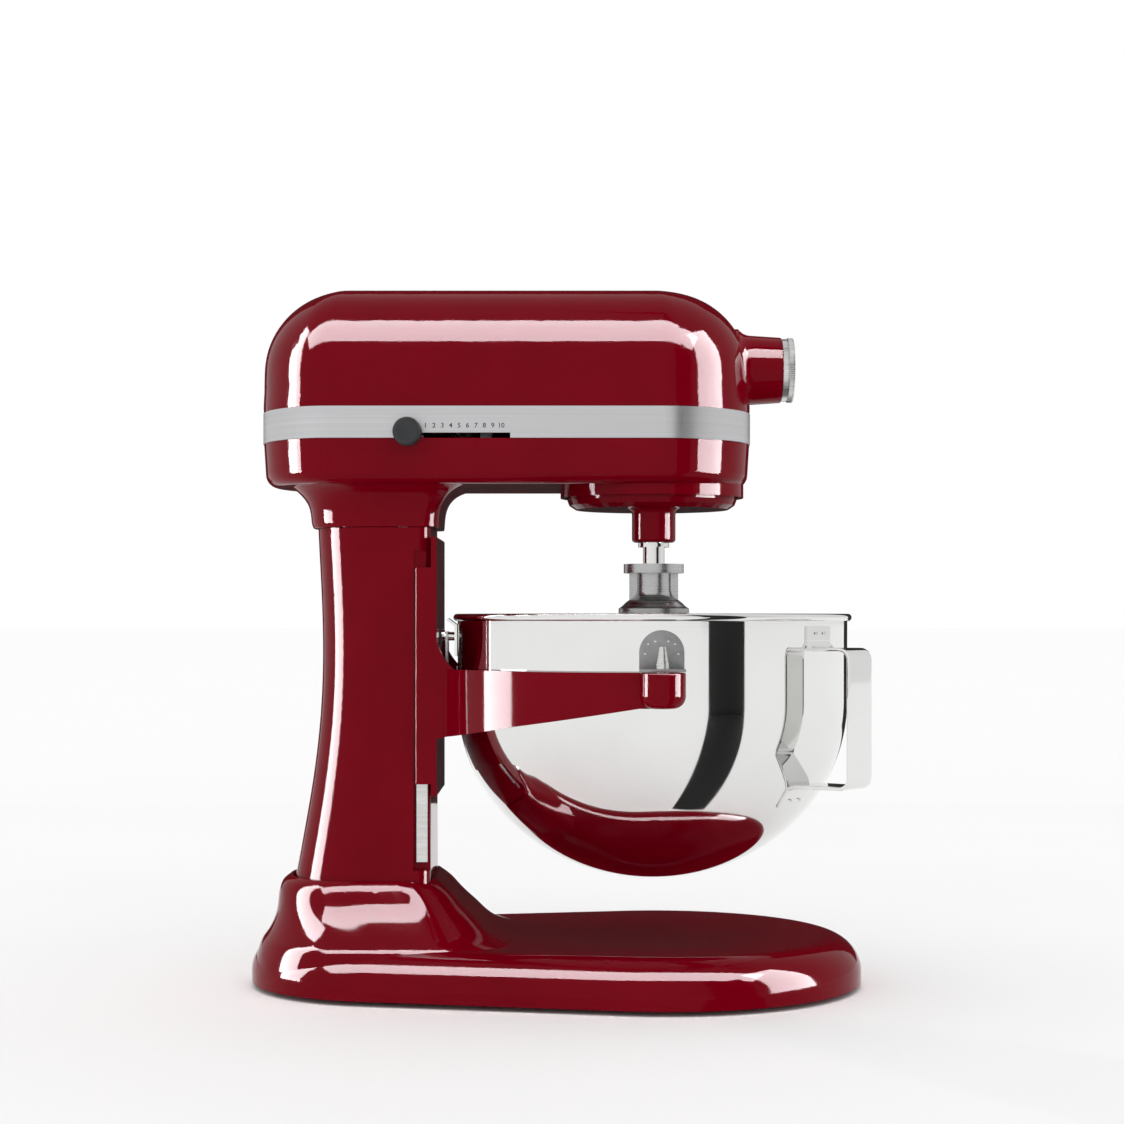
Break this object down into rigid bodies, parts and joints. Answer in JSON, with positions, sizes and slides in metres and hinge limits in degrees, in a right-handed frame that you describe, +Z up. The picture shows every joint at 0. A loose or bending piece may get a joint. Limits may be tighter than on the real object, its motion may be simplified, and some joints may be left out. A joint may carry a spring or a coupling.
{
  "type": "stand mixer",
  "caption": "Household stand mixer with a lifting bowl, planetary whip drive, speed lever, attachment hub and metal trim band, built as separate jointed pieces.",
  "frame": {"origin": "on the floor under the middle of the machine's bounding box", "axes": "+X towards the attachment hub, +Z up, the speed lever on the -Y side"},
  "size_m": [0.37, 0.286, 0.4195],
  "materials": {
    "red_enamel": "deep gloss enamel",
    "brushed_band": "brushed lengthwise",
    "polished_steel": "mirror polish",
    "satin_steel": "satin",
    "cast_aluminium": "burnished casting",
    "charcoal_plastic": "fine matte moulding",
    "black_rubber": "matte",
    "bright_zinc": "zinc plated",
    "gear_steel": "machined, oiled",
    "bronze": "sintered bronze",
    "lamination": "stacked sheet",
    "copper_winding": "varnished wire",
    "carbon": "pressed carbon",
    "board": "printed board",
    "nylon": "moulded nylon"
  },
  "bodies": {
    "stand": {"base_casting": "red_enamel", "rubber_feet": "black_rubber", "foot_screws": "bright_zinc", "column_casting": "red_enamel", "column_bolts": "bright_zinc", "guide_rails": "satin_steel", "head_housing": "red_enamel", "head_bolts": "bright_zinc", "top_cover": "red_enamel", "trim_band": "brushed_band", "ring_gear": "gear_steel", "shaft_bushes": "bronze", "hub_sleeve": "satin_steel", "cluster_bridge": "cast_aluminium", "planet_bridge": "cast_aluminium", "field_core": "lamination", "field_coils": "copper_winding", "motor_brackets": "cast_aluminium", "motor_bearings": "bronze", "brush_holders": "charcoal_plastic", "carbon_brushes": "carbon", "control_board": "board", "speed_guide": "satin_steel", "cord_bushing": "black_rubber"},
    "speed_lever": {"speed_knob": "charcoal_plastic", "speed_link": "satin_steel"},
    "planetary": {"planet_dish": "red_enamel", "beater_bushes": "bronze", "planet_shaft": "gear_steel", "centre_gear": "gear_steel", "hub_bevel_gear": "gear_steel"},
    "beater": {"beater_shaft": "polished_steel", "beater_pin": "gear_steel", "beater_pinion": "gear_steel", "drip_washer": "polished_steel", "whip_hub": "cast_aluminium", "whip_wires": "polished_steel"},
    "cluster": {"cluster_shaft": "gear_steel", "cluster_pinion": "gear_steel", "cluster_bevel_gear": "gear_steel"},
    "armature": {"armature_shaft": "gear_steel", "armature_core": "lamination", "armature_windings": "copper_winding", "commutator": "copper_winding", "cooling_fan": "nylon", "motor_pinion": "gear_steel"},
    "hub_drive": {"hub_spindle": "gear_steel", "hub_bevel_pinion": "gear_steel"},
    "plug": {"hub_plug": "satin_steel"},
    "thumb_screw": {"hub_screw": "charcoal_plastic"},
    "support": {"bowl_support": "red_enamel", "locating_pins": "satin_steel", "bowl_catch": "satin_steel"},
    "lift": {"lift_shaft": "gear_steel", "lift_lever": "satin_steel", "lift_grip": "charcoal_plastic"},
    "mixing_bowl": {"bowl": "polished_steel", "bowl_handle": "polished_steel", "side_brackets": "polished_steel", "rear_bracket": "polished_steel"}
  },
  "joints": [
    {"name": "speed_slide", "type": "slide", "parent": "stand", "child": "speed_lever", "axis": [1, 0, 0], "range_m": [0, 0.054]},
    {"name": "bowl_lift", "type": "slide", "parent": "stand", "child": "support", "axis": [0, 0, -1], "range_m": [0, 0.032]},
    {"name": "lift_turn", "type": "hinge", "parent": "stand", "child": "lift", "pos_m": [-0.1, 0, 0.19], "axis": [0, -1, 0], "range_deg": [0, 90]},
    {"name": "bowl_off", "type": "slide", "parent": "support", "child": "mixing_bowl", "axis": [0, 0, 1], "range_m": [0, 0.0145]},
    {"name": "planet_spin", "type": "hinge", "parent": "stand", "child": "planetary", "pos_m": [0.0582, 0, 0.29], "axis": [0, 0, 1], "continuous": true},
    {"name": "beater_spin", "type": "hinge", "parent": "planetary", "child": "beater", "pos_m": [0.0582, -0.0285, 0.29], "axis": [0, 0, 1], "continuous": true},
    {"name": "cluster_spin", "type": "hinge", "parent": "stand", "child": "cluster", "pos_m": [0.0012, 0, 0.33], "axis": [0, 0, 1], "continuous": true},
    {"name": "armature_spin", "type": "hinge", "parent": "stand", "child": "armature", "pos_m": [-0.1, 0, 0.362], "axis": [1, 0, 0], "continuous": true},
    {"name": "hub_spin", "type": "hinge", "parent": "stand", "child": "hub_drive", "pos_m": [0.09, 0, 0.3732], "axis": [1, 0, 0], "continuous": true},
    {"name": "plug_pull", "type": "slide", "parent": "stand", "child": "plug", "axis": [1, 0, 0], "range_m": [0, 0.025]},
    {"name": "screw_turn", "type": "hinge", "parent": "stand", "child": "thumb_screw", "pos_m": [0.127, 0.03, 0.3732], "axis": [0, 1, 0], "range_deg": [0, 360]}
  ],
  "couplings": [
    {"joint": "lift_turn", "follows": "bowl_lift", "rad_per_m": 49.087},
    {"joint": "beater_spin", "follows": "planet_spin", "ratio": -3.1111},
    {"joint": "cluster_spin", "follows": "planet_spin", "ratio": -4.4286},
    {"joint": "armature_spin", "follows": "planet_spin", "ratio": 14.762},
    {"joint": "hub_spin", "follows": "planet_spin", "ratio": 1}
  ]
}
